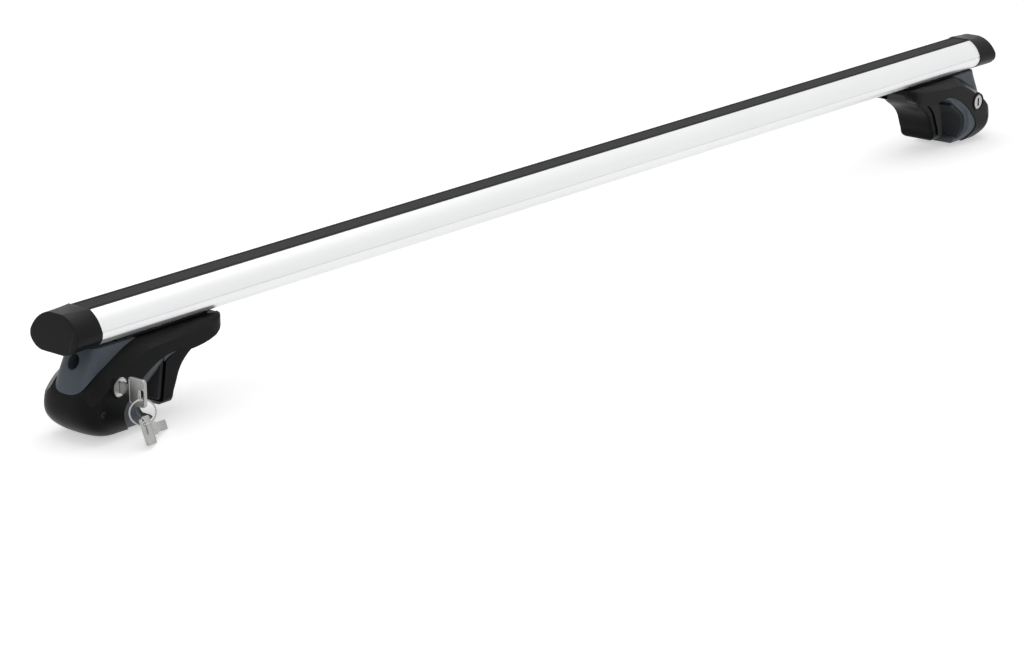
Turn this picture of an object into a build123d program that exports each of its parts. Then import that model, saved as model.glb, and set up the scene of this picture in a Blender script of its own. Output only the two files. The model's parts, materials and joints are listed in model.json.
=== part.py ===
from build123d import *
import math
import os

# Overall sizes in millimetres: X along the bar, front is -Y, Z up, zero at the bar's top
overall_length = 1204.0
cap_length = 27.5
profile_width = 45.8
profile_height = 26.8
foot_setback = 4.4
foot_height = 67.0
foot_length = 137.0
foot_half_depth = 28.5
rail_radius = 12.5
jaw_travel = 14.0
far = 200.0
overlap = 1.0

# Bar extrusion
skin = 2.0
top_half = 11.0
top_rim = 0.9
bottom_half = 10.5
nose_top = -14.5
nose_bottom = -20.0
nose_lean = 0.9
nose_bulge = 0.35
flank_bulge = 2.0
under_bulge = 1.7
groove_depth = 0.7
groove_height = 0.9
strip_recess = 1.2
slot_mouth_half = 6.0
top_lip = 2.5
top_slot_half = 9.0
top_slot_height = 6.0
bottom_lip = 2.0
channel_half = 12.0
channel_height = 13.5
channel_wall = 1.6
profile_length = overall_length - 2 * cap_length

# Rubber strip in the top slot
strip_clearance = 0.1
strip_rise = 0.25
strip_groove_offset = 7.6
strip_groove_width = 0.9
strip_groove_depth = 0.8
strip_barb_half = 7.8
strip_barb_height = 2.4
strip_barb_taper = 1.0

# End caps
cap_overhang = 0.8
cap_flare = 2.1
cap_wall = 2.2
cap_slant = 5.0
cap_edge = 0.8
plug_length = 16.0
plug_clearance = 0.2

# Foot shell: height, nose position and side tuck of each level, measured from the bar's underside
saddle_thickness = 1.5
rail_center = (67.0, 19.5 - foot_height)
foot_levels = (
    (-saddle_thickness, 19.5, 0.0),
    (-9.8, 16.0, 0.0),
    (-17.4, 12.0, 0.0),
    (-26.0, 8.0, 0.0),
    (-34.8, 5.0, 0.0),
    (rail_center[1] + 5.1, 3.0, 0.0),
    (rail_center[1] - 0.5, 2.6, 0.0),
    (rail_center[1] - 8.0, 5.0, 0.5),
    (5.8 - foot_height, 9.8, 3.0),
    (2.0 - foot_height, 15.5, 6.0),
    (-foot_height, 22.0, 9.5),
)
side_taper = ((95.0, 0.7), (foot_length, 3.2))
nose_reach = 14.0
nose_fullness = 0.75
neck_half = 17.0
neck_reach = 10.0
neck_recess = 0.4
cover_wall = 2.4
cover_fit = 0.1
seam = 0.25
core_end = 110.0

# Cover's swept upper edge and the slope that flares out from it
arch_line = ((-20.0, -59.6), (11.3, -28.3))
arch_curve = ((17.4, -22.9), (28.0, -16.8), (40.4, -9.9), (48.0, -6.1), (56.5, -2.8))
arch_end = 65.0
flare_way = (0.36, -1.0, -0.55)
flare_slope = math.hypot(flare_way[0], flare_way[2])
flare_spread = math.hypot(1.0, flare_slope)

# Claw and its rubber pad, the claw's outline given about the rail's centre
claw_outline = ((-11.0, -24.5), (-21.0, -19.0), (-27.5, -13.0), (-31.7, -3.5), (-25.0, 7.5), (-15.6, 16.2))
claw_crest = ((71.8, -19.5), (81.0, -17.0))
claw_tip = (95.5, -17.4)
cover_low = (103.0, -19.0)
tail_edge = ((-19.8, -18.2), (-4.5, -12.0), (0.5, -4.5))
claw_drop = 0.8
claw_arc = (125.0, 250.0)
lip_height = 1.9
lip_round = ((-1.0, 0.0), (0.8, -2.6), (-2.0, -6.0))
bevel_half = foot_half_depth - 4.0
bevel_slope = 0.77
bevel_end = 80.0
pad_thickness = 2.8
claw_pad_half = bevel_half - 0.5
claw_pad_run = 18.0

# Jaw and its rubber pad
jaw_clearance = 0.4
jaw_drop = 2 * jaw_clearance
cheek_inner_half = 15.2
deck_underside = -5.5
jaw_half = 20.0
jaw_rim_half = 18.4
jaw_rim_shift = (-6.0, 4.0)
jaw_floor = 7.5 - foot_height
jaw_lean = 9.0
jaw_squeeze = 0.4
jaw_face_span = (rail_center[1] - 6.5, -25.5)
jaw_sweep = (
    (95.0, jaw_floor + 4.5),
    (97.6, rail_center[1] + 1.0),
    (102.0, -36.2),
    (113.0, -25.0),
    (123.0, -18.5),
    (130.0, -11.0),
    (134.0, deck_underside - jaw_clearance),
)
jaw_pad_half = 17.0
jaw_pad_thickness = 3.0
jaw_pad_edge = 0.8
jaw_hollow_half = 11.8
jaw_hollow_start = 100.0
jaw_hollow_shift = (-1.5, 2.1)
jaw_edge = 2.6
jaw_heel_run = 5.0
jaw_toe_radius = 5.0
jaw_lift = (0.6, 3.5)
jaw_lift_run = 2.5

# Clamping bolt, M6
bolt_height = -12.0
bolt_radius = 3.0
bolt_running_gap = 0.06
bolt_head_radius = 5.0
bolt_head_length = 6.0
bolt_head_face = 33.0
bolt_spare = 6.0
bolt_point = 0.8
bolt_socket_across = 5.0
bolt_socket_depth = 3.2
access_radius = 5.4
washer_thickness = 1.0
washer_radius = 5.2
clip_gap = 0.2
clip_thickness = 1.0
clip_radius = 4.8
nut_across = 10.0
nut_thickness = 5.0

# Slot block, bar guide and saddle pad on top of each foot
block_start = 82.0
block_end = 134.0
block_clearance = 0.3
block_neck_half = 5.7
block_edge = 1.2
guide_start = 26.5
guide_end = 54.4
guide_rise = 10.8
guide_half = 5.0
guide_shoulder = (12.0, 1.6)
guide_point_drop = 2.0
guide_end_rise = 0.4
guide_crown_run = 6.0
guide_toe_run = 5.0
guide_back = (4.0, 4.0)
saddle_start = 45.0
saddle_half = 13.5
saddle_gap = 0.1
saddle_end_gap = 1.0
block_screw_places = (92.0, 124.0)
block_screw_radius = 3.0
block_screw_head_radius = 5.4
block_screw_head_height = 2.6
block_screw_top = 10.0
block_screw_socket = 2.3
block_screw_socket_depth = 1.5
block_screw_tip_gap = 0.5
thread_gap = 0.05

# Lock, cam and keys
lock_place = (33.0, -29.5)
boss_face = -foot_half_depth - 1.2
lock_face = boss_face + 0.7
lock_back = -2.6
plug_radius = 6.4
plug_gap = 0.06
housing_radius = plug_radius + 1.0
housing_set_back = 0.5
boss_radius = housing_radius + 1.0
boss_root_radius = boss_radius + 1.0
cam_thickness = 2.6
cam_reach = 19.2
cam_width = 7.0
cam_angle = 112.0
cam_turn = 90.0
cam_hub_radius = 5.5
cam_square = 5.0
cam_gap = 0.4
cam_pocket_gap = 0.6
cam_screw_radius = 3.6
cam_screw_height = 2.0
key_thickness = 2.2
blade_height = 7.2
key_neck_height = blade_height + 2.0
key_neck_gap = 1.0
blade_end = -9.0
keyway_gap = 0.2
keyway_width = key_thickness + 2 * keyway_gap
keyway_height = blade_height + 3 * keyway_gap
keyway_end = blade_end + 2.0
bow_near = lock_face - 8.9
bow_far = bow_near - 17.0
bow_half_height = 10.5
bow_corner = 3.0
slot_width = 4.4
slot_span = (-6.2, 2.4)
slot_corner = 1.0
slot_place = bow_far + 4.1
ring_radius = 8.8
ring_band = 1.3
ring_width = 1.8
ring_yaw = 38.0
spare_yaw = 27.0
spare_tilt = -12.0
spare_lean = -20.0
hang_gap = 0.9
key_cuts = (1.2, 2.0, 1.5, 2.2)
key_cut_start = 4.0
key_cut_pitch = 3.4

# Cover screws
cover_screw_place = (16.5, rail_center[1] + 1.0)
cover_screw_head_radius = 2.5
cover_screw_radius = 1.5
cover_screw_seat = foot_half_depth - 1.6
cover_screw_length = 9.0
cover_screw_head_height = 1.2
cover_screw_socket = 1.45
cover_screw_socket_depth = 0.8
cover_screw_tip_gap = 1.0


def side(face, half):
    return extrude(Plane.XZ * face, amount=half, both=True)


def along_bar(face, length):
    return extrude(Plane.YZ * face, amount=length)


def rod_x(start, end, radius, y, z):
    return Pos((start + end) / 2, y, z) * Rot(0, 90, 0) * Cylinder(radius, end - start)


def rod_y(start, end, radius, place):
    return Pos(place[0], (start + end) / 2, place[1]) * Rot(90, 0, 0) * Cylinder(radius, end - start)


def rod_z(start, end, radius, x, y):
    return Pos(x, y, (start + end) / 2) * Cylinder(radius, end - start)


def block(x0, x1, y0, y1, z0, z1):
    return Pos((x0 + x1) / 2, (y0 + y1) / 2, (z0 + z1) / 2) * Box(x1 - x0, y1 - y0, z1 - z0)


def polar(center, radius, degrees):
    turn = math.radians(degrees)
    return (center[0] + radius * math.cos(turn), center[1] + radius * math.sin(turn))


def shifted(point, shift):
    return (point[0] + shift[0], point[1] + shift[1])


# Bar section with its slots
def bar_outline(spread, grow):
    half = profile_width / 2 + spread
    foot_of_nose = half - nose_lean
    low = -profile_height - grow
    flank = SagittaArc((top_half, grow), (half, nose_top), flank_bulge)
    nose = SagittaArc((half, nose_top), (foot_of_nose, nose_bottom), nose_bulge)
    under = SagittaArc((foot_of_nose, nose_bottom), (bottom_half, low), under_bulge)
    right = Curve() + [flank, nose, under]
    top = Line((-top_half, grow), (top_half, grow))
    bottom = Line((-bottom_half, low), (bottom_half, low))
    return make_face(right + mirror(right, Plane.YZ) + [top, bottom])


def slab(half, z0, z1):
    return Pos(0, (z0 + z1) / 2) * Rectangle(2 * half, z1 - z0)


outline = bar_outline(0, 0)
recess_half = top_half - top_rim
lip_under = -strip_recess - top_lip
web_top = lip_under - top_slot_height
channel_floor = -profile_height + bottom_lip
channel_top = channel_floor + channel_height
chambers = offset(outline, -skin) - slab(channel_half + channel_wall, -profile_height, 0)
section = outline - chambers
section -= slab(recess_half, -strip_recess, skin)
section -= slab(slot_mouth_half, lip_under, 0)
section -= slab(top_slot_half, web_top, lip_under)
section -= slab(channel_half, channel_floor, channel_top)
section -= slab(slot_mouth_half, -profile_height - skin, channel_floor)
for sign in (-1, 1):
    groove = Rectangle(2 * groove_depth, groove_height)
    section -= Pos(sign * profile_width / 2, nose_top) * groove
bar_start = -profile_length / 2
bar_extrusion = Pos(bar_start, 0, 0) * along_bar(section, profile_length)

# Rubber strip
strip_half = recess_half - strip_clearance
strip_neck = slot_mouth_half - strip_clearance
barb_top = lip_under - strip_clearance
barb_low = barb_top - strip_barb_height
barb_neck = strip_neck - strip_barb_taper
strip = slab(strip_half, -strip_recess, strip_rise)
strip += slab(strip_neck, barb_top - strip_barb_taper, -strip_recess)
strip += Polygon(
    (strip_barb_half, barb_top),
    (-strip_barb_half, barb_top),
    (-barb_neck, barb_low),
    (barb_neck, barb_low),
    align=None,
)
strip_groove = Rectangle(strip_groove_width, 2 * strip_groove_depth)
for sign in (-1, 1):
    strip -= Pos(sign * strip_groove_offset, strip_rise) * strip_groove
top_rubber_strip = Pos(bar_start, 0, 0) * along_bar(strip, profile_length)


# End cap for the near end, mirrored for the other
def end_cap():
    end_face = Plane.YZ * bar_outline(cap_flare, cap_overhang)
    joint_face = Plane.YZ.offset(cap_length) * bar_outline(cap_overhang, cap_overhang)
    shell = loft([end_face, joint_face], ruled=True)
    low = -profile_height - cap_overhang
    lean = Polygon((0, cap_overhang), (cap_slant, cap_overhang), (0, low), align=None)
    shell -= side(lean, profile_width)
    shell = fillet(shell.faces().sort_by(Axis.X)[0].edges(), cap_edge)
    hollow = offset(outline, -cap_wall)
    shell -= Pos(cap_wall + cap_slant, 0, 0) * along_bar(hollow, cap_length)
    for chamber in chambers.faces():
        plug = along_bar(offset(chamber, -plug_clearance), plug_length + cap_length / 2)
        shell += Pos(cap_length / 2, 0, 0) * plug
    return Pos(-overall_length / 2, 0, 0) * shell


cap = end_cap()


# Foot shell: rounded outer end, drawn in at the levels near the ground
def foot_shell(inset, half, reach):
    levels = []
    for height, nose, tuck in foot_levels:
        tip = nose + inset
        width = half - tuck - inset
        straight = tip + reach
        turn = straight - reach * nose_fullness
        full = width * nose_fullness
        front = Bezier((straight, -width), (turn, -width), (tip, -full), (tip, 0))
        back = Bezier((tip, 0), (tip, full), (turn, width), (straight, width))
        waist, end = [(x, width - taper) for x, taper in side_taper]
        behind = ThreePointArc((straight, width), waist, end)
        close = Line(end, (end[0], -end[1]))
        before = ThreePointArc((end[0], -end[1]), (waist[0], -waist[1]), (straight, -width))
        level = height * (1 - inset / foot_height)
        levels.append(Plane.XY.offset(level) * make_face([front, back, behind, close, before]))
    return loft(levels)


# Side view of everything above the cover's swept upper edge
def arch_face(lift):
    start, bend = [shifted(point, (0, lift)) for point in arch_line]
    curve = [shifted(point, (0, lift)) for point in arch_curve]
    end = (arch_end, lift - saddle_thickness)
    rise = (bend[0] - start[0], bend[1] - start[1])
    swept = Spline(bend, *curve, end, tangents=(rise, (1, 0)))
    rest = Polyline(end, (far, end[1]), (far, far), (start[0], far), start, bend)
    return make_face([swept, rest])


# Space above the slopes that run from the upper edge out to the foot's sides
def flare(inset):
    start = neck_half - inset * flare_spread / flare_slope
    edge = Plane.XZ.offset(start) * arch_face(0)
    slope = extrude(edge, amount=flare_spread * foot_half_depth, dir=flare_way)
    return slope + mirror(slope, Plane.XZ)


# Lower edge of the cover inboard of the claw's tip
def inner_edge(drop):
    tail = [shifted(point, (foot_length, 0)) for point in tail_edge]
    return Spline(*[shifted(point, (0, -drop)) for point in (cover_low, *tail)])


def toward_rail(point, drop):
    share = drop / math.dist(point, rail_center)
    return tuple(place + (center - place) * share for place, center in zip(point, rail_center))


# Everything below the cover's lower edge
def below_cover(drop):
    points = [shifted(point, rail_center) for point in claw_outline] + list(claw_crest)
    points = [toward_rail(point, drop) for point in points]
    tip = shifted(claw_tip, (0, -drop))
    edge = inner_edge(drop)
    claw_edge = Spline(*points, tip, edge @ 0)
    end = edge @ 1
    start = points[0]
    rest = Polyline(end, (far, end.Y), (far, -far), (start[0], -far), start)
    return side(make_face([claw_edge, edge, rest]), far)


# Space for the rail between claw and jaw, open downwards, in side view
def gap_face():
    seat = rail_radius + pad_thickness
    top = polar(rail_center, seat, claw_arc[0])
    low = polar(rail_center, seat, claw_arc[1])
    lip = polar(rail_center, seat - lip_height, claw_arc[1])
    along = polar((0, 0), 1, claw_arc[0] + 90)
    edge = inner_edge(0)
    roof = Spline(edge @ 0, claw_tip, top, tangents=((-1, 0.1), along))
    bowl = ThreePointArc(top, polar(rail_center, seat, sum(claw_arc) / 2), low)
    rounding = [(rail_center[0] + x, lip[1] + z) for x, z in lip_round]
    lip_edge = Polyline(low, lip, rounding[0])
    lip_end = ThreePointArc(*rounding)
    heel = rail_center[0] + claw_outline[0][0]
    end = edge @ 1
    under = Polyline(rounding[2], (heel, -foot_height), (heel, -far), (far, -far), (far, end.Y), end)
    return make_face([edge, roof, bowl, lip_edge, lip_end, under])


# Bevels on the claw's two faces towards the rail: a cone about it and a slope above it
def claw_bevel():
    low = bevel_half - (rail_radius + pad_thickness) * bevel_slope
    wedge = Polygon((0, low), (far, low + far * bevel_slope), (far, 2 * far), (0, 2 * far), align=None)
    cone = Pos(rail_center[0], 0, rail_center[1]) * revolve(wedge, Axis.Y)
    normal = polar((0, 0), 1 / bevel_slope, claw_arc[0])
    way = (normal[0], -1, normal[1])
    roof_face = gap_face() & Pos(bevel_end - far / 2, 0) * Rectangle(far, 2 * far)
    slope = extrude(Plane.XZ.offset(bevel_half) * roof_face, amount=foot_half_depth, dir=way)
    cut = cone + slope
    return cut + mirror(cut, Plane.XZ)


# Outline of the cam's arm at a given turn
def cam_arm(turn, grow):
    length = cam_reach + grow
    arm = Pos(length / 2, 0) * Rectangle(length, cam_width + 2 * grow)
    return Rot(0, 0, turn) * (arm & Circle(length))


def cam_pocket():
    pie = Polygon(
        (0, 0),
        polar((0, 0), 2 * cam_reach, cam_angle),
        polar((0, 0), 2 * cam_reach, cam_angle + cam_turn / 2),
        polar((0, 0), 2 * cam_reach, cam_angle + cam_turn),
        align=None,
    )
    swept = (pie & Circle(cam_reach + cam_pocket_gap)) + Circle(cam_hub_radius + cam_pocket_gap)
    swept += cam_arm(cam_angle, cam_pocket_gap)
    swept += cam_arm(cam_angle + cam_turn, cam_pocket_gap)
    front = cam_front - cam_pocket_gap
    back = cam_back + cam_screw_height + cam_pocket_gap
    return Pos(lock_place[0], (front + back) / 2, lock_place[1]) * side(swept, (back - front) / 2)


# Face of the jaw's pad, which leans over the rail
def jaw_face(height):
    lean = math.radians(jaw_lean)
    reach = rail_radius + jaw_squeeze + (height - rail_center[1]) * math.sin(lean)
    return (rail_center[0] + reach / math.cos(lean), height)


jaw_face_bottom, jaw_face_top = [jaw_face(height) for height in jaw_face_span]
jaw_seat_bottom, jaw_seat_top = [shifted(p, (jaw_pad_thickness, 0)) for p in (jaw_face_bottom, jaw_face_top)]
channel_start = jaw_face_top[0] - jaw_clearance - clip_gap
slide_face = channel_start + jaw_clearance
slide_top = deck_underside - jaw_clearance
gap = side(gap_face(), far)
cam_front = lock_back + cam_gap
cam_back = cam_front + cam_thickness
washer_start = bolt_head_face + bolt_head_length
shoulder_x = washer_start + washer_thickness
boss_root = cover_wall / 2 - foot_half_depth


# Channel that the jaw slides in
def slide_channel():
    half = cheek_inner_half
    return block(channel_start, far, -half, half, -foot_height, deck_underside)


# Countersunk holes for the slot block's screws
def screw_holes():
    holes = Part()
    for x in block_screw_places:
        holes += rod_z(deck_underside - 1, 0, block_screw_radius + thread_gap, x, 0)
        sink = Cone(block_screw_head_radius, block_screw_radius, block_screw_head_height)
        holes += Pos(x, 0, deck_underside + block_screw_head_height / 2) * sink
    return holes


def foot_cover():
    inside = foot_shell(cover_wall, foot_half_depth, nose_reach) - flare(cover_wall)
    inside -= block(core_end, far, -far, far, -far, far)
    shell = foot_shell(0, foot_half_depth, nose_reach) - inside
    shell = shell - flare(0) - side(arch_face(0), neck_half) - below_cover(0) - slide_channel()
    boss_middle = (boss_face + boss_root) / 2
    boss = Cone(boss_root_radius, boss_radius, boss_root - boss_face)
    shell += Pos(lock_place[0], boss_middle, lock_place[1]) * Rot(90, 0, 0) * boss
    shell -= rod_y(2 * boss_face, boss_face / 2, housing_radius, lock_place)
    for sign in (-1, 1):
        seat = sign * cover_screw_seat
        shell -= rod_y(*sorted((seat, sign * far)), cover_screw_head_radius + cover_fit, cover_screw_place)
        shell -= rod_y(*sorted((0, sign * far)), cover_screw_radius + thread_gap, cover_screw_place)
    return shell - screw_holes()


def foot_core():
    lining = cover_wall + cover_fit
    body = foot_shell(lining, foot_half_depth, nose_reach) - flare(lining)
    body += foot_shell(neck_recess, neck_half, neck_reach) & side(arch_face(seam), far)
    body += (foot_shell(claw_drop, foot_half_depth, nose_reach) & below_cover(seam)) - claw_bevel()
    body -= gap
    body -= block(0, far, -far, far, -saddle_thickness, far)
    body -= block(core_end - cover_fit, far, -far, far, -far, far)
    body -= slide_channel()
    body -= rod_x(0, shoulder_x, access_radius, 0, bolt_height)
    body -= rod_x(shoulder_x - 1, channel_start + 1, bolt_radius + bolt_running_gap, 0, bolt_height)
    body -= rod_y(2 * boss_face, cam_front, housing_radius, lock_place)
    body -= cam_pocket()
    for sign in (-1, 1):
        ends = sorted((sign * (cover_screw_seat - cover_screw_length), sign * far))
        body -= rod_y(*ends, cover_screw_radius + thread_gap, cover_screw_place)
    return body - screw_holes()


def claw_pad():
    top = polar(rail_center, rail_radius, claw_arc[0])
    low = polar(rail_center, rail_radius, claw_arc[1])
    end = shifted(top, polar((0, 0), claw_pad_run, claw_arc[0] - 90))
    bowl = ThreePointArc(top, polar(rail_center, rail_radius, sum(claw_arc) / 2), low)
    out_low = polar(rail_center, rail_radius + 2 * pad_thickness, claw_arc[1])
    out_end = shifted(end, polar((0, 0), 3 * pad_thickness, claw_arc[0]))
    behind = rail_center[0] - 2 * rail_radius
    rest = Polyline(low, out_low, (behind, out_low[1]), (behind, out_end[1]), out_end, end, top)
    return side(make_face([bowl, rest]), claw_pad_half) & gap


# Side outline of the jaw, from its toe to the top of its slide
def jaw_outline():
    heel = (jaw_sweep[0][0] - jaw_heel_run, jaw_floor)
    lift = (jaw_seat_bottom[0] - jaw_lift[0], jaw_floor + jaw_lift[1])
    left = Polyline(jaw_seat_top, jaw_seat_bottom, lift, (lift[0] + jaw_lift_run, jaw_floor), heel)
    toe = RadiusArc(heel, jaw_sweep[0], -jaw_toe_radius)
    swept = Spline(*jaw_sweep, tangents=((0, 1), (0.6, 1)))
    top = Polyline(jaw_sweep[-1], (slide_face, slide_top), (slide_face, jaw_seat_top[1]), jaw_seat_top)
    return make_face([left, toe, swept, top])


# Side view of the room under the cover that the jaw's wide part may fill over its whole travel
def jaw_room():
    edge = inner_edge(jaw_drop)
    low = edge @ 0
    end = edge @ 1
    start = (jaw_face_bottom[0] - jaw_half, jaw_face_top[1])
    climb = Polyline(start, jaw_seat_top, (claw_tip[0], low.Y), low)
    rest = Polyline(end, (far, end.Y), (far, -far), (start[0], -far), start)
    return make_face([climb, edge, rest])


def inner_jaw():
    whole = jaw_outline()
    wide = whole & jaw_room()
    rim = side(wide, jaw_rim_half)
    rounded = rim.faces().sort_by(SortBy.AREA)[-2:].edges().filter_by(GeomType.BSPLINE)
    rounded = [edge for edge in rounded if edge.bounding_box().min.Z < jaw_sweep[1][1]]
    jaw = fillet(rounded, jaw_edge)
    jaw += side(wide & Pos(*jaw_rim_shift) * wide, jaw_half)
    jaw += side(whole, cheek_inner_half - jaw_clearance)
    floor = [shifted(point, jaw_hollow_shift) for point in jaw_sweep[3:]]
    lining = Spline(*floor)
    end = floor[-1]
    start = (jaw_hollow_start, floor[0][1])
    rest = Polyline(end, (far, end[1]), (far, 0), (jaw_hollow_start, 0), start, floor[0])
    jaw -= side(make_face([lining, rest]), jaw_hollow_half)
    jaw -= rod_x(channel_start, jaw_hollow_start, bolt_radius + jaw_clearance, 0, bolt_height)
    jaw -= rod_x(channel_start, clip_end + jaw_clearance, clip_radius + jaw_clearance, 0, bolt_height)
    half = nut_across / 2 + thread_gap
    jaw -= block(nut_start, jaw_hollow_start, -half, half, bolt_height - half, bolt_height + half)
    return jaw


def jaw_pad():
    pad = Polygon(jaw_face_top, jaw_face_bottom, jaw_seat_bottom, jaw_seat_top, align=None)
    return chamfer(side(pad, jaw_pad_half).faces().sort_by(Axis.X)[0].edges(), jaw_pad_edge)


# Clamping bolt with its washer, retaining clip and nut
clip_start = channel_start + clip_gap
clip_end = clip_start + clip_thickness
nut_start = jaw_hollow_start - nut_thickness
bolt_end = jaw_hollow_start + jaw_travel + bolt_spare


def hexagon_x(across, start, end):
    hexagon = RegularPolygon(across / math.sqrt(3), 6)
    return Pos(start, 0, bolt_height) * extrude(Plane.YZ * hexagon, amount=end - start)


def clamp_bolt():
    head_end = bolt_head_face + bolt_head_length
    bolt = rod_x(bolt_head_face, head_end, bolt_head_radius, 0, bolt_height)
    bolt += rod_x(head_end, bolt_end, bolt_radius, 0, bolt_height)
    bolt = chamfer(bolt.edges().filter_by(GeomType.CIRCLE).sort_by(Axis.X)[-1], bolt_point)
    return bolt - hexagon_x(bolt_socket_across, bolt_head_face, bolt_head_face + bolt_socket_depth)


def collar_x(start, end, radius, bore):
    return rod_x(start, end, radius, 0, bolt_height) - rod_x(start, end, bore, 0, bolt_height)


def jaw_nut():
    half = nut_across / 2
    nut = block(nut_start, jaw_hollow_start, -half, half, bolt_height - half, bolt_height + half)
    return nut - rod_x(nut_start, jaw_hollow_start, bolt_radius + bolt_running_gap, 0, bolt_height)


# Fittings between foot and bar
def slot_block():
    head_bottom = bottom_lip + block_clearance
    head_top = bottom_lip + channel_height - block_clearance
    head_half = channel_half - 2 * block_clearance
    neck = block(block_start, block_end, -block_neck_half, block_neck_half, -saddle_thickness, head_bottom)
    head = block(block_start, block_end, -head_half, head_half, head_bottom, head_top)
    part = neck + chamfer(head.faces().sort_by(Axis.Z)[-1].edges(), block_edge)
    for x in block_screw_places:
        part -= rod_z(-saddle_thickness, block_screw_top, block_screw_radius + thread_gap, x, 0)
    return part


def slot_block_screws():
    screws = Part()
    for x in block_screw_places:
        head = Cone(block_screw_head_radius, block_screw_radius, block_screw_head_height)
        screw = Pos(x, 0, deck_underside + block_screw_head_height / 2) * head
        screw += rod_z(deck_underside + overlap, block_screw_top - block_screw_tip_gap, block_screw_radius, x, 0)
        socket = extrude(RegularPolygon(block_screw_socket, 6), amount=block_screw_socket_depth)
        screws += screw - Pos(x, 0, deck_underside) * socket
    return screws


def bar_guide():
    shoulder = (guide_start + guide_shoulder[0], guide_rise - guide_shoulder[1])
    point = (guide_start, guide_rise - guide_point_drop)
    heel = (guide_end, -saddle_thickness)
    front = Polyline(heel, (guide_end, guide_end_rise), shoulder)
    crown = ThreePointArc(shoulder, (guide_start + guide_crown_run, guide_rise), point)
    toe = (guide_start + guide_toe_run, -saddle_thickness)
    back = (guide_start + guide_back[0], guide_rise - guide_back[1])
    rest = Polyline(point, back, toe, heel)
    return side(make_face([front, crown, rest]), guide_half)


def saddle_pad():
    pad = block(saddle_start, foot_length - saddle_end_gap, -saddle_half, saddle_half, -saddle_thickness, -saddle_gap)
    fit = block_clearance
    pad -= block(block_start - fit, far, -block_neck_half - fit, block_neck_half + fit, -far, far)
    pad -= block(0, guide_end + fit, -guide_half - fit, guide_half + fit, -far, far)
    return pad


# Cover screws, front and back
def cover_screws():
    screws = Part()
    for sign in (-1, 1):
        seat = sign * cover_screw_seat
        face = seat + sign * cover_screw_head_height
        tail = seat - sign * (cover_screw_length - cover_screw_tip_gap)
        screw = rod_y(*sorted((seat, face)), cover_screw_head_radius, cover_screw_place)
        screw += rod_y(*sorted((seat, tail)), cover_screw_radius, cover_screw_place)
        socket = side(RegularPolygon(cover_screw_socket, 6), cover_screw_socket_depth)
        screws += screw - Pos(cover_screw_place[0], face, cover_screw_place[1]) * socket
    return screws


# Lock
def lock_housing():
    barrel = rod_y(lock_face + housing_set_back, lock_back, housing_radius, lock_place)
    return barrel - rod_y(lock_face, 0, plug_radius + plug_gap, lock_place)


def lock_plug():
    plug = rod_y(lock_face, lock_back, plug_radius, lock_place)
    x, z = lock_place
    stub = cam_square / 2
    plug += block(x - stub, x + stub, lock_back - overlap, cam_back, z - stub, z + stub)
    wide = keyway_width / 2
    tall = keyway_height / 2
    return plug - block(x - wide, x + wide, lock_face - overlap, keyway_end, z - tall, z + tall)


def lock_cam():
    plate = cam_arm(cam_angle, 0) + Circle(cam_hub_radius)
    plate -= Rectangle(cam_square + 2 * thread_gap, cam_square + 2 * thread_gap)
    return Pos(lock_place[0], (cam_front + cam_back) / 2, lock_place[1]) * side(plate, cam_thickness / 2)


def lock_cam_screw():
    return rod_y(cam_back, cam_back + cam_screw_height, cam_screw_radius, lock_place)


# Key drawn about the lock's axis, blade towards +Y
def key_blank():
    bow_middle = (bow_near + bow_far) / 2
    bow = Pos(bow_middle, 0) * RectangleRounded(bow_near - bow_far, 2 * bow_half_height, bow_corner)
    slot_middle = (slot_span[0] + slot_span[1]) / 2
    slot = RectangleRounded(slot_width, slot_span[1] - slot_span[0], slot_corner)
    bow -= Pos(slot_place, slot_middle) * slot
    neck_end = lock_face - key_neck_gap
    bow += Pos((bow_near + neck_end) / 2 - overlap, 0) * Rectangle(neck_end - bow_near + 2 * overlap, key_neck_height)
    bow += Pos((neck_end + blade_end) / 2 - overlap, 0) * Rectangle(blade_end - neck_end + 2 * overlap, blade_height)
    for number, depth in enumerate(key_cuts):
        place = (blade_end - key_cut_start - key_cut_pitch * number, blade_height / 2)
        bow -= Pos(*place) * Rot(0, 0, 45) * Rectangle(depth * math.sqrt(2), depth * math.sqrt(2))
    return extrude(Plane.YZ * bow, amount=key_thickness / 2, both=True)


ring_top = lock_place[1] + slot_span[0] + hang_gap
ring_middle = ring_top - ring_radius
ring_low = ring_middle - ring_radius


def key():
    return Pos(lock_place[0], 0, lock_place[1]) * key_blank()


def key_ring():
    band = side(Circle(ring_radius + ring_band) - Circle(ring_radius), ring_width / 2)
    return Pos(lock_place[0], slot_place, ring_middle) * Rot(0, 0, -ring_yaw) * band


def spare_key():
    hung = Pos(0, -slot_place, slot_span[0]) * Rot(0, 180, 0) * key_blank()
    turned = Rot(0, 0, spare_yaw - 90) * Rot(spare_tilt, 0, 0) * Rot(0, spare_lean, 0) * hung
    return Pos(lock_place[0], slot_place, ring_low + hang_gap) * turned


foot_pieces = {
    "foot_core": foot_core(),
    "foot_cover": foot_cover(),
    "claw_pad": claw_pad(),
    "inner_jaw": inner_jaw(),
    "jaw_pad": jaw_pad(),
    "clamp_bolt": clamp_bolt(),
    "bolt_washer": collar_x(washer_start, shoulder_x, washer_radius, bolt_radius + jaw_clearance),
    "bolt_clip": collar_x(clip_start, clip_end, clip_radius, bolt_radius),
    "jaw_nut": jaw_nut(),
    "slot_block": slot_block(),
    "slot_block_screws": slot_block_screws(),
    "bar_guide": bar_guide(),
    "saddle_pad": saddle_pad(),
    "cover_screws": cover_screws(),
    "lock_housing": lock_housing(),
    "lock_plug": lock_plug(),
    "lock_cam": lock_cam(),
    "lock_cam_screw": lock_cam_screw(),
}
key_pieces = {"key": key(), "key_ring": key_ring(), "spare_key": spare_key()}

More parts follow.
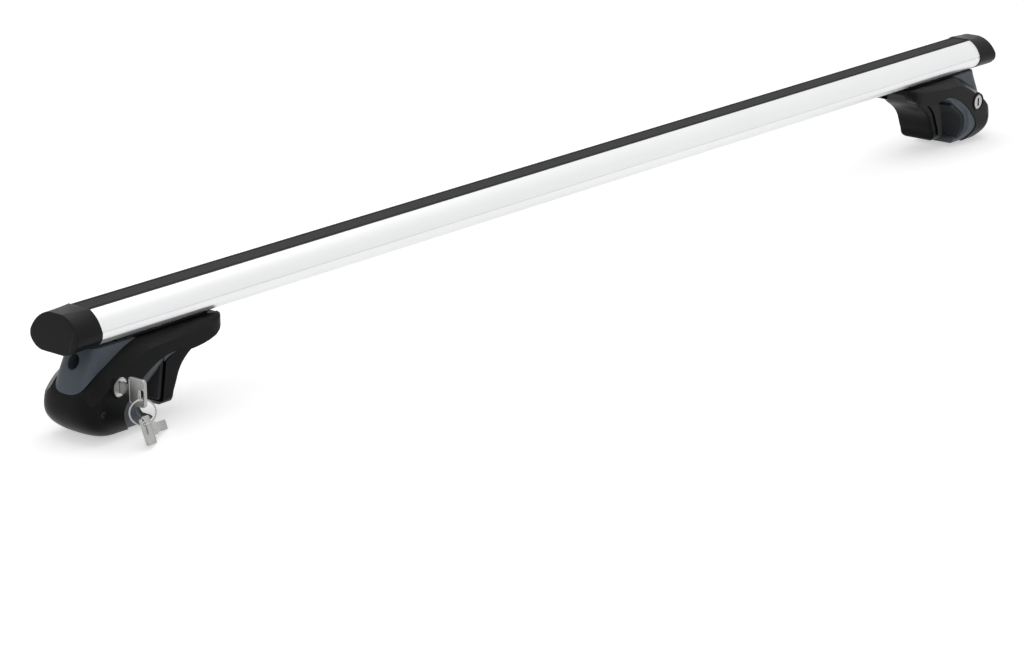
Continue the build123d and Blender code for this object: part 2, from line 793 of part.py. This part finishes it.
# Placing: the left foot as drawn, the right foot as its mirror image
to_bar = Pos(foot_setback - overall_length / 2, 0, -profile_height)
nodes = {
    "bar_extrusion": bar_extrusion,
    "top_rubber_strip": top_rubber_strip,
    "left_end_cap": cap,
    "right_end_cap": mirror(cap, Plane.YZ),
}
for name, piece in foot_pieces.items():
    nodes["left_" + name] = to_bar * piece
    nodes["right_" + name] = mirror(to_bar * piece, Plane.YZ)
for name, piece in key_pieces.items():
    nodes[name] = to_bar * piece

os.makedirs("parts", exist_ok=True)
for name, piece in nodes.items():
    export_step(piece, "parts/" + name + ".step")
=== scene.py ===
import bpy
import bmesh
import json
import math
from mathutils import Matrix, Vector


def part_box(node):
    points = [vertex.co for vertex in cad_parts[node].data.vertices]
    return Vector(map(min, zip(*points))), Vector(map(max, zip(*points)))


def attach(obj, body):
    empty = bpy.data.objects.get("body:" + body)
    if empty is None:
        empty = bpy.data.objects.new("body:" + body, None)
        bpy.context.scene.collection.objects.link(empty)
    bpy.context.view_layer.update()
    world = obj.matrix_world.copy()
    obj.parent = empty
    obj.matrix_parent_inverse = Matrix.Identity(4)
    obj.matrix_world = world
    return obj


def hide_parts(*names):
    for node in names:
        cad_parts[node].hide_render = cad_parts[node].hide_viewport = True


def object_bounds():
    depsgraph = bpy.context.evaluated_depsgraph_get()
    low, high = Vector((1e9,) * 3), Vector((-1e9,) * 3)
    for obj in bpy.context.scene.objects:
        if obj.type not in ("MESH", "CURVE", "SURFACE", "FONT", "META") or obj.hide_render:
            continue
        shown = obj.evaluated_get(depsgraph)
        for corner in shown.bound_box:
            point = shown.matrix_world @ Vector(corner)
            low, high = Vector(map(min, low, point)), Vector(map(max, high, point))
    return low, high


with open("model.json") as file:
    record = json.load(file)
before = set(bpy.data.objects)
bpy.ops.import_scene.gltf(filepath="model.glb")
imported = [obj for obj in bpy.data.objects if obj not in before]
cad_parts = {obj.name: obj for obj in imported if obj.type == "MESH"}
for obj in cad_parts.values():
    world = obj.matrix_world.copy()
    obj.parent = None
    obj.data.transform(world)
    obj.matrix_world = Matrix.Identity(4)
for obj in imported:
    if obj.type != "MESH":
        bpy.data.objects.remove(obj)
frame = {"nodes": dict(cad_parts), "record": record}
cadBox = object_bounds()
nodes = frame["nodes"]
print("frame loaded:", len(nodes), "CAD nodes")


# shader maths: a wire is a socket that can be added, multiplied and so on
class Wire:
    def __init__(self, tree, socket=None):
        self.tree = tree
        self.socket = socket

    def node(self, kind, settings={}, sockets={}, out=0):
        made = self.tree.nodes.new(kind)
        for name, value in settings.items():
            setattr(made, name, value)
        for name, value in sockets.items():
            socket = self.find(made.inputs, name)
            if isinstance(value, Wire):
                self.tree.links.new(value.socket, socket)
            else:
                socket.default_value = value
        return Wire(self.tree, self.find(made.outputs, out) if made.outputs else None)

    # several sockets of a mix share a name, and only those in use are enabled
    def find(self, sockets, name):
        if isinstance(name, int):
            return sockets[name]
        return [socket for socket in sockets if socket.name == name and socket.enabled][0]

    def calc(self, operation, first, second):
        return self.node("ShaderNodeMath", {"operation": operation}, {0: first, 1: second})

    def __add__(self, other):
        return self.calc("ADD", self, other)

    def __sub__(self, other):
        return self.calc("SUBTRACT", self, other)

    def __rsub__(self, other):
        return self.calc("SUBTRACT", other, self)

    def __mul__(self, other):
        return self.calc("MULTIPLY", self, other)

    __radd__ = __add__
    __rmul__ = __mul__


def newMaterial(name):
    made = bpy.data.materials.new(name)
    made.use_nodes = True
    made.node_tree.nodes.clear()
    return made, Wire(made.node_tree)


# noise on the part's own coordinates, stretched by three scales
def noise(wire, size, detail, rough=0.5, stretch=(1, 1, 1)):
    spot = wire.node("ShaderNodeTexCoord", out="Object")
    place = wire.node("ShaderNodeMapping", {}, {"Vector": spot, "Scale": stretch})
    sockets = {"Vector": place, "Scale": size, "Detail": detail, "Roughness": rough}
    return wire.node("ShaderNodeTexNoise", {}, sockets)


def tint(wire, mask, dark, light):
    sockets = {"Factor": mask, "A": (*dark, 1), "B": (*light, 1)}
    return wire.node("ShaderNodeMix", {"data_type": "RGBA"}, sockets, out="Result")


# keeps the part of a noise between two levels and spreads it from black to white
def sharpen(wire, value, low, high):
    sockets = {"Value": value, "From Min": low, "From Max": high}
    return wire.node("ShaderNodeMapRange", {"clamp": True}, sockets)


bumpDepth = 0.0002


def bump(wire, height, strength):
    return wire.node("ShaderNodeBump", {}, {"Height": height, "Strength": strength, "Distance": bumpDepth})


def finishShader(wire, sockets):
    shader = wire.node("ShaderNodeBsdfPrincipled", {}, sockets)
    wire.node("ShaderNodeOutputMaterial", {}, {"Surface": shader})


# moulded plastic: spark-eroded grain, faint flow marks and rubbed patches
plasticLook = {
    "cloud": {"size": 38.0, "detail": 4.0},
    "cloudShare": 0.6,
    "flow": {"size": 18.0, "detail": 2.0, "stretch": (1, 2.5, 6)},
    "flowShare": 0.4,
    "grain": {"size": 2400.0, "detail": 2.0},
    "grainHeight": 0.3,
    "rubbed": {"size": 90.0, "detail": 6.0, "rough": 0.65},
    "rubbedSpan": (0.56, 0.74),
    "rubbedPolish": 0.05,
    "roughDrop": 0.08,
    "roughSpread": 0.14,
}


def mouldedPlastic(name, dark, light, rough, shine):
    look = plasticLook
    made, wire = newMaterial(name)
    cloud = noise(wire, **look["cloud"])
    flow = noise(wire, **look["flow"])
    grain = noise(wire, **look["grain"])
    rubbed = sharpen(wire, noise(wire, **look["rubbed"]), *look["rubbedSpan"])
    mottle = cloud * look["cloudShare"] + flow * look["flowShare"]
    uneven = rough - look["roughDrop"] + look["roughSpread"] * mottle
    sockets = {
        "Base Color": tint(wire, mottle, dark, light),
        "Roughness": uneven - look["rubbedPolish"] * rubbed,
        "Normal": bump(wire, grain, look["grainHeight"]),
        "Specular IOR Level": shine,
    }
    finishShader(wire, sockets)
    return made


# rubber: dull, dusty in patches, with a fine extruded or moulded line
rubberLook = {
    "cloud": {"size": 60.0, "detail": 5.0},
    "cloudShare": 0.65,
    "dust": {"size": 140.0, "detail": 6.0, "rough": 0.7},
    "dustSpan": (0.5, 0.8),
    "dustShare": 0.35,
    "line": {"size": 1.0, "detail": 3.0},
    "lineHeight": 0.35,
    "roughDrop": 0.05,
    "roughSpread": 0.1,
    "shine": 0.25,
}


def rubber(name, dark, light, rough, lineStretch):
    look = rubberLook
    made, wire = newMaterial(name)
    cloud = noise(wire, **look["cloud"])
    dust = sharpen(wire, noise(wire, **look["dust"]), *look["dustSpan"])
    line = noise(wire, **look["line"], stretch=lineStretch)
    sockets = {
        "Base Color": tint(wire, cloud * look["cloudShare"] + dust * look["dustShare"], dark, light),
        "Roughness": rough - look["roughDrop"] + look["roughSpread"] * cloud,
        "Normal": bump(wire, line, look["lineHeight"]),
        "Specular IOR Level": look["shine"],
    }
    finishShader(wire, sockets)
    return made


# extruded aluminium: die lines that run with the bar under a satin anodised skin
aluminiumLook = {
    "line": {"size": 1.0, "detail": 3.0, "stretch": (0.6, 900, 900)},
    "lineShare": 0.5,
    "lineHeight": 0.06,
    "cloud": {"size": 12.0, "detail": 3.0},
    "cloudShare": 0.5,
    "roughDrop": 0.06,
    "lineRough": 0.08,
    "cloudRough": 0.05,
    "metallic": 0.8,
}


def extrudedAluminium(name, dark, light, rough):
    look = aluminiumLook
    made, wire = newMaterial(name)
    line = noise(wire, **look["line"])
    cloud = noise(wire, **look["cloud"])
    uneven = rough - look["roughDrop"] + look["lineRough"] * line
    sockets = {
        "Base Color": tint(wire, line * look["lineShare"] + cloud * look["cloudShare"], dark, light),
        "Roughness": uneven + look["cloudRough"] * cloud,
        "Normal": bump(wire, line, look["lineHeight"]),
        "Metallic": look["metallic"],
    }
    finishShader(wire, sockets)
    return made


# plated or bare metal: soft clouding and hair scratches
platedLook = {
    "cloud": {"size": 160.0, "detail": 5.0},
    "scratch": {"size": 420.0, "detail": 3.0, "stretch": (1, 9, 1)},
    "scratchHeight": 0.1,
    "roughDrop": 0.06,
    "roughSpread": 0.14,
    "metallic": 1.0,
}


def platedMetal(name, dark, light, rough):
    look = platedLook
    made, wire = newMaterial(name)
    cloud = noise(wire, **look["cloud"])
    scratch = noise(wire, **look["scratch"])
    sockets = {
        "Base Color": tint(wire, cloud, dark, light),
        "Roughness": rough - look["roughDrop"] + look["roughSpread"] * scratch,
        "Normal": bump(wire, scratch, look["scratchHeight"]),
        "Metallic": look["metallic"],
    }
    finishShader(wire, sockets)
    return made


# one finish for each slot: darkest and lightest colour, roughness, then shine or the line's stretch
finishes = {
    "bar_aluminium": extrudedAluminium("barAluminium", (0.87, 0.875, 0.88), (0.94, 0.945, 0.95), 0.38),
    "strip_rubber": rubber(
        "stripRubber", (0.010, 0.010, 0.011), (0.022, 0.022, 0.024), 0.74, (8, 1400, 1400)
    ),
    "cap_plastic": mouldedPlastic(
        "capPlastic", (0.0045, 0.0045, 0.005), (0.008, 0.008, 0.0088), 0.40, 0.13
    ),
    "black_plastic": mouldedPlastic(
        "blackPlastic", (0.0022, 0.0024, 0.0028), (0.0042, 0.0046, 0.0052), 0.34, 0.10
    ),
    "grey_plastic": mouldedPlastic(
        "greyPlastic", (0.082, 0.101, 0.122), (0.112, 0.133, 0.157), 0.44, 0.22
    ),
    "pad_rubber": rubber(
        "padRubber", (0.040, 0.043, 0.047), (0.070, 0.074, 0.078), 0.7, (900, 60, 900)
    ),
    "fitting_plastic": mouldedPlastic(
        "fittingPlastic", (0.012, 0.012, 0.013), (0.02, 0.02, 0.021), 0.5, 0.3
    ),
    "zinc_steel": platedMetal("zincSteel", (0.55, 0.56, 0.58), (0.68, 0.68, 0.67), 0.36),
    "dark_steel": platedMetal("darkSteel", (0.03, 0.03, 0.032), (0.06, 0.06, 0.062), 0.42),
    "lock_zinc": platedMetal("lockZinc", (0.40, 0.40, 0.40), (0.54, 0.54, 0.53), 0.28),
    "key_nickel": platedMetal("keyNickel", (0.32, 0.32, 0.31), (0.46, 0.455, 0.44), 0.30),
    "ring_steel": platedMetal("ringSteel", (0.30, 0.30, 0.30), (0.42, 0.42, 0.42), 0.24),
}
for entry in frame["record"]["subparts"]:
    skin = nodes[entry["node"]].data.materials
    skin.clear()
    skin.append(finishes[entry["material_slot"]])
print("materials set:", len(finishes))

# where the bar, the left foot, its bolt and its lock sit, in metres
barHalf = 0.602
barUnder = -0.0268
footStart = -0.5976  # outer end of the foot
boltHeight = barUnder - 0.012
lockSpot = Vector((footStart + 0.033, 0, barUnder - 0.0295))
sides = {"left": 1, "right": -1}  # the right foot mirrors the left one
mergeDistance = 0.000002
cutTolerance = 0.000001


# place along the bar of a point x from the outer end of a foot
def alongFoot(side, x):
    return side * (footStart + x)


# a merged copy of a CAD node, to work on
def copyOf(name):
    shape = bmesh.new()
    shape.from_mesh(nodes[name].data)
    bmesh.ops.remove_doubles(shape, verts=shape.verts, dist=mergeDistance)
    return shape


def cutAt(shape, place, way, **settings):
    geometry = shape.verts[:] + shape.edges[:] + shape.faces[:]
    bmesh.ops.bisect_plane(
        shape, geom=geometry, dist=cutTolerance, plane_co=place, plane_no=way, **settings
    )


def closeHoles(shape):
    bmesh.ops.holes_fill(shape, edges=[edge for edge in shape.edges if edge.is_boundary], sides=0)


# how far a round corner has drawn in, at a distance past its start
def roundInset(radius, reach):
    return radius - math.sqrt(max(radius ** 2 - reach ** 2, 0))


def sharpEdges(shape, degrees):
    limit = math.radians(degrees)
    return [edge for edge in shape.edges if edge.is_manifold and edge.calc_face_angle() > limit]


def shadeSmooth(shape, degrees):
    for face in shape.faces:
        face.smooth = True
    for edge in sharpEdges(shape, degrees):
        edge.smooth = False


def addPiece(shape, name, body, finish, stand):
    mesh = bpy.data.meshes.new(name)
    shape.to_mesh(mesh)
    shape.free()
    piece = bpy.data.objects.new(name, mesh)
    bpy.context.scene.collection.objects.link(piece)
    mesh.materials.append(finishes[finish])
    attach(piece, body)
    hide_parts(stand)


# end caps: the flat top narrows and the flanks fill out towards the end
capForm = {
    "length": 0.0275,
    "loops": 9,
    "topHalf": 0.011,
    "topHalfAtEnd": 0.0052,
    "rise": 0.0008,
    "noseHalf": 0.0237,
    "noseHalfAtEnd": 0.025,
    "noseHeight": -0.0145,
    "bulge": 0.002,
    "bulgeAtEnd": 0.0038,
    "skin": 0.0012,
    "slope": 0.176,
    "shadeAngle": 28,
}


def between(first, last, share):
    return first + share * (last - first)


# point on a flank that runs from the top's corner to the nose, and its way outwards
def flankPoint(corner, nose, bulge, share):
    chord = nose - corner
    outward = Vector((-chord.y, chord.x)).normalized()
    return corner + chord * share + outward * (4 * bulge * share * (1 - share)), outward


def reshapeCap(shape, side, form):
    joint = barHalf - form["length"]
    for number in range(1, form["loops"]):
        cutAt(shape, (-side * (joint + form["length"] * number / form["loops"]), 0, 0), (1, 0, 0))
    corner = Vector((form["topHalf"], form["rise"]))
    for vert in shape.verts:
        share = (abs(vert.co.x) - joint) / form["length"]
        if share <= 0:
            continue
        hand = -1 if vert.co.y < 0 else 1
        spot = Vector((abs(vert.co.y), vert.co.z))
        nose = Vector((between(form["noseHalf"], form["noseHalfAtEnd"], share), form["noseHeight"]))
        target = Vector((between(form["topHalf"], form["topHalfAtEnd"], share), form["rise"]))
        chord = nose - corner
        along = (spot - corner).dot(chord) / chord.length_squared
        if along <= 0 and spot.y > form["rise"] - form["skin"]:
            vert.co.y *= target.x / corner.x
        elif 0 < along < 1:
            before, outward = flankPoint(corner, nose, form["bulge"], along)
            if abs((spot - before).dot(outward)) < form["skin"]:
                bulge = between(form["bulge"], form["bulgeAtEnd"], share)
                change = flankPoint(target, nose, bulge, along)[0] - before
                vert.co.y += hand * change.x
                vert.co.z += change.y
                vert.co.x += side * share * form["slope"] * change.y


for name, side in sides.items():
    shape = copyOf(name + "_end_cap")
    reshapeCap(shape, side, capForm)
    shadeSmooth(shape, capForm["shadeAngle"])
    addPiece(shape, name + "_cap_shell", "bar", "cap_plastic", name + "_end_cap")
print("end caps reshaped")

# foot covers: the tail's sides rise along the bar's flank, and its corners are round
tailForm = {
    "cuts": (0.078, 0.090, 0.102, 0.112, 0.120, 0.126, 0.130, 0.1325, 0.1345, 0.1358, 0.1366),
    "sideCuts": (0.015, 0.0185, 0.0215, 0.0235),
    "start": 0.066,
    "full": 0.126,
    "end": 0.137,
    "rise": 0.0042,
    "inner": 0.0135,
    "outer": 0.0245,
    "depth": 0.013,
    "topEdge": 0.001,
    "corner": 0.008,
    "half": 0.0254,
    "stretch": 0.005,
    "stretchStart": 0.110,
    "shadeAngle": 30,
}


# 0 below low, 1 above high and a soft step between them
def softStep(value, low, high):
    share = min(max((value - low) / (high - low), 0), 1)
    return share * share * (3 - 2 * share)


def reshapeTail(shape, side, form):
    for x in form["cuts"]:
        cutAt(shape, (alongFoot(side, x), 0, 0), (1, 0, 0))
    for y in form["sideCuts"]:
        cutAt(shape, (0, y, 0), (0, 1, 0))
        cutAt(shape, (0, -y, 0), (0, 1, 0))
    for vert in shape.verts:
        x = side * vert.co.x - footStart
        reach = x - (form["end"] - form["corner"])
        if reach > 0:
            limit = form["half"] - roundInset(form["corner"], reach)
            vert.co.y = min(max(vert.co.y, -limit), limit)
        high = softStep(vert.co.z, barUnder - form["depth"], barUnder - form["topEdge"])
        wide = softStep(abs(vert.co.y), form["inner"], form["outer"])
        vert.co.z += form["rise"] * softStep(x, form["start"], form["full"]) * wide * high
        vert.co.x += side * form["stretch"] * softStep(x, form["stretchStart"], form["end"])


for name, side in sides.items():
    shape = copyOf(name + "_foot_cover")
    reshapeTail(shape, side, tailForm)
    shadeSmooth(shape, tailForm["shadeAngle"])
    addPiece(shape, name + "_cover_shell", name + "_foot", "black_plastic", name + "_foot_cover")
print("foot covers reshaped")

# inner jaws: the toe's lower corners are round
toeForm = {
    "cuts": (0.0003, 0.001, 0.002, 0.0034, 0.005, 0.007),
    "corner": 0.007,
    "half": 0.0184,
    "floor": barUnder - 0.0595,
    "shadeAngle": 30,
}


def roundToe(shape, form):
    for height in form["cuts"]:
        cutAt(shape, (0, 0, form["floor"] + height), (0, 0, 1))
    for vert in shape.verts:
        below = form["floor"] + form["corner"] - vert.co.z
        if below > 0:
            vert.co.y *= 1 - roundInset(form["corner"], below) / form["half"]


for name in sides:
    shape = copyOf(name + "_inner_jaw")
    roundToe(shape, toeForm)
    shadeSmooth(shape, toeForm["shadeAngle"])
    addPiece(shape, name + "_jaw_block", name + "_jaw", "black_plastic", name + "_inner_jaw")
print("jaw toes rounded")

# clamp bolts: rolled thread on the end that runs through the nut
threadForm = {
    "start": 0.070,
    "end": 0.1192,
    "pitch": 0.001,
    "crest": 0.00298,
    "root": 0.0024,
    "steps": 20,
    "tipRadius": 0.0019,
    "tipLength": 0.0016,
    "shadeAngle": 32,
}


def threadOn(shape, side, form):
    cut = alongFoot(side, form["start"])
    cutAt(shape, (cut, 0, 0), (side, 0, 0), clear_outer=True)
    closeHoles(shape)
    # one tooth, wound along the bolt
    chain = []
    for number, height in enumerate((form["root"], form["crest"], form["root"])):
        place = (cut + side * form["pitch"] * number / 2, 0, boltHeight + height)
        chain.append(shape.verts.new(place))
    tooth = [shape.edges.new(pair) for pair in zip(chain, chain[1:])]
    turns = round((form["end"] - form["start"]) / form["pitch"]) - 1
    step = side * form["pitch"] / form["steps"]
    bmesh.ops.spin(
        shape, geom=chain + tooth, cent=(cut, 0, boltHeight), axis=(side, 0, 0), dvec=(step, 0, 0),
        angle=2 * math.pi * turns, steps=form["steps"] * turns
    )
    bmesh.ops.remove_doubles(shape, verts=shape.verts, dist=mergeDistance)
    closeHoles(shape)
    tip = Matrix.Translation((alongFoot(side, form["end"]), 0, boltHeight))
    bmesh.ops.create_cone(
        shape, cap_ends=True, segments=form["steps"], radius1=form["root"], radius2=form["tipRadius"],
        depth=form["tipLength"], matrix=tip @ Matrix.Rotation(side * math.pi / 2, 4, "Y")
    )
    bmesh.ops.recalc_face_normals(shape, faces=shape.faces)


for name, side in sides.items():
    shape = copyOf(name + "_clamp_bolt")
    threadOn(shape, side, threadForm)
    shadeSmooth(shape, threadForm["shadeAngle"])
    addPiece(shape, name + "_threaded_bolt", name + "_bolt", "zinc_steel", name + "_clamp_bolt")
print("bolts threaded")

# key ring: nearly two coils of drawn wire
ringForm = {
    "turns": 1.9,
    "stepsPerTurn": 64,
    "middleRadius": 0.00945,
    "pitch": 0.00062,
    "wireHalf": (0.0006, 0.00029),
    "wireSides": 10,
    "yaw": 38.0,
    "shadeAngle": 50,
}


def coiledRing(form, center):
    shape = bmesh.new()
    bmesh.ops.create_circle(shape, segments=form["wireSides"], radius=1)
    bmesh.ops.scale(shape, verts=shape.verts, vec=(*form["wireHalf"], 1))
    bmesh.ops.rotate(shape, verts=shape.verts, matrix=Matrix.Rotation(math.pi / 2, 3, "X"))
    low = -form["pitch"] * form["turns"] / 2
    bmesh.ops.translate(shape, verts=shape.verts, vec=(form["middleRadius"], 0, low))
    steps = round(form["stepsPerTurn"] * form["turns"])
    bmesh.ops.spin(
        shape, geom=shape.verts[:] + shape.edges[:], axis=(0, 0, 1), dvec=(0, 0, -2 * low / steps),
        angle=2 * math.pi * form["turns"], steps=steps
    )
    closeHoles(shape)
    bmesh.ops.recalc_face_normals(shape, faces=shape.faces)
    turned = Matrix.Rotation(math.radians(-form["yaw"]), 4, "Z") @ Matrix.Rotation(math.pi / 2, 4, "X")
    bmesh.ops.transform(shape, verts=shape.verts, matrix=Matrix.Translation(center) @ turned)
    return shape


lowCorner, highCorner = [Vector(corner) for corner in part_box("key_ring")]
shape = coiledRing(ringForm, (lowCorner + highCorner) / 2)
shadeSmooth(shape, ringForm["shadeAngle"])
addPiece(shape, "split_ring", "key_ring", "ring_steel", "key_ring")
print("split ring coiled")

# keys: a stamped bow with a raised rim, and broken edges all round
keyForm = {
    "bowStart": -0.0379,
    "rim": 0.001,
    "step": 0.00022,
    "recess": 0.0003,
    "edge": 0.0002,
    "edgeSegments": 2,
    "edgeAngle": 60,
    "facing": 0.9,
    "flatAngle": 1,
    "shadeAngle": 35,
}

# how the spare key hangs on the ring by its slot
spareHang = {
    "slotPlace": -0.0508,
    "slotEnd": -0.0062,
    "height": barUnder - 0.0515,
    "yaw": -63,
    "tilt": -12,
    "lean": -20,
}


def turnedBy(degrees, axis):
    return Matrix.Rotation(math.radians(degrees), 4, axis)


def sparePlace(hang):
    hook = Matrix.Translation((lockSpot.x, hang["slotPlace"], hang["height"]))
    hookTurn = turnedBy(hang["yaw"], "Z") @ turnedBy(hang["tilt"], "X")
    flipped = Matrix.Translation((0, -hang["slotPlace"], hang["slotEnd"])) @ turnedBy(180, "Y")
    return hook @ hookTurn @ turnedBy(hang["lean"], "Y") @ flipped


# works on a key at the origin, with its bow towards -Y, and puts it back in its place
def stampKey(shape, place, form):
    bmesh.ops.transform(shape, verts=shape.verts, matrix=place.inverted())
    bmesh.ops.dissolve_limit(
        shape, angle_limit=math.radians(form["flatAngle"]), verts=shape.verts, edges=shape.edges
    )
    start = form["bowStart"]
    cutAt(shape, (0, start, 0), (0, 1, 0))
    flats = [face for face in shape.faces if abs(face.normal.x) > form["facing"]]
    bow = [face for face in flats if face.calc_center_median().y < start]
    bmesh.ops.inset_region(shape, faces=bow, thickness=form["rim"], use_even_offset=True)
    bmesh.ops.inset_region(
        shape, faces=bow, thickness=form["step"], depth=-form["recess"], use_even_offset=True
    )
    bmesh.ops.bevel(
        shape, geom=sharpEdges(shape, form["edgeAngle"]), offset=form["edge"],
        segments=form["edgeSegments"], profile=0.5, affect="EDGES", material=-1, clamp_overlap=True
    )
    bmesh.ops.transform(shape, verts=shape.verts, matrix=place)


for name, place in (("key", Matrix.Translation(lockSpot)), ("spare_key", sparePlace(spareHang))):
    shape = copyOf(name)
    stampKey(shape, place, keyForm)
    shadeSmooth(shape, keyForm["shadeAngle"])
    addPiece(shape, "stamped_" + name, name, "key_nickel", name)
print("keys stamped")

# floor, lamps and world
studio = {
    "floorSize": 12.0,
    "floorColor": (0.92, 0.92, 0.92, 1),
    "floorRough": 0.9,
    "floorLift": 0.5,
    "overheadPlace": (0.1, 0.45, 2.3),
    "overheadTarget": (0, 0, 0),
    "overheadPower": 28.0,
    "overheadSize": 3.0,
    "frontPlace": (-2.2, -1.2, 1.5),
    "frontTarget": (-0.4, 0, 0),
    "frontPower": 7.0,
    "frontSize": 1.2,
    "worldLevel": 0.3,
}


# 1 for what the camera, a mirror or glass shows, 0 for the light that falls on the object
def seenDirectly(wire):
    camera = wire.node("ShaderNodeLightPath", out="Is Camera Ray")
    mirrored = wire.node("ShaderNodeLightPath", out="Is Glossy Ray")
    through = wire.node("ShaderNodeLightPath", out="Is Transmission Ray")
    return wire.calc("MINIMUM", camera + mirrored + through, 1.0)


shape = bmesh.new()
bmesh.ops.create_grid(shape, x_segments=1, y_segments=1, size=studio["floorSize"])
bmesh.ops.translate(shape, verts=shape.verts, vec=(0, 0, cadBox[0][2]))
floorMesh = bpy.data.meshes.new("floor")
shape.to_mesh(floorMesh)
shape.free()
floor = bpy.data.objects.new("floor", floorMesh)
bpy.context.scene.collection.objects.link(floor)
paint, wire = newMaterial("floorPaint")
lift = seenDirectly(wire) * studio["floorLift"]
glow = wire.node("ShaderNodeCombineColor", {}, {"Red": lift, "Green": lift, "Blue": lift})
floorSockets = {
    "Base Color": studio["floorColor"],
    "Roughness": studio["floorRough"],
    "Emission Color": glow,
    "Emission Strength": 1.0,
}
finishShader(wire, floorSockets)
floorMesh.materials.append(paint)


def areaLight(name):
    lamp = bpy.data.lights.new(name + "Light", "AREA")
    lamp.size = studio[name + "Size"]
    lamp.energy = studio[name + "Power"]
    holder = bpy.data.objects.new(name + "Light", lamp)
    holder.location = studio[name + "Place"]
    aim = Vector(studio[name + "Target"]) - Vector(studio[name + "Place"])
    holder.rotation_euler = aim.to_track_quat("-Z", "Y").to_euler()
    bpy.context.scene.collection.objects.link(holder)


areaLight("overhead")
areaLight("front")
world = bpy.data.worlds.new("studioWorld")
bpy.context.scene.world = world
world.use_nodes = True
world.node_tree.nodes.clear()
sky = Wire(world.node_tree)
level = seenDirectly(sky) * (1 - studio["worldLevel"]) + studio["worldLevel"]
backdrop = sky.node("ShaderNodeBackground", {}, {"Color": (1, 1, 1, 1), "Strength": level})
sky.node("ShaderNodeOutputWorld", {}, {"Surface": backdrop})

# camera at the photograph's place
view = {
    "place": (-2.0246, -1.6351, 0.6649),
    "yaw": 49.646,
    "pitch": 17.611,
    "roll": -0.213,
    "lens": 112.13,
    "sensor": 36.0,
    "clipEnd": 60.0,
}
lens = bpy.data.cameras.new("photoCamera")
lens.lens = view["lens"]
lens.sensor_width = view["sensor"]
lens.clip_end = view["clipEnd"]
camera = bpy.data.objects.new("photoCamera", lens)
yaw = math.radians(view["yaw"])
pitch = math.radians(view["pitch"])
aim = Vector((math.sin(yaw) * math.cos(pitch), math.cos(yaw) * math.cos(pitch), -math.sin(pitch)))
turn = aim.to_track_quat("-Z", "Y").to_matrix() @ Matrix.Rotation(math.radians(view["roll"]), 3, "Z")
camera.rotation_euler = turn.to_euler()
camera.location = view["place"]
bpy.context.scene.collection.objects.link(camera)
bpy.context.scene.camera = camera
bpy.context.scene.view_settings.view_transform = "Standard"
print("studio and camera set")
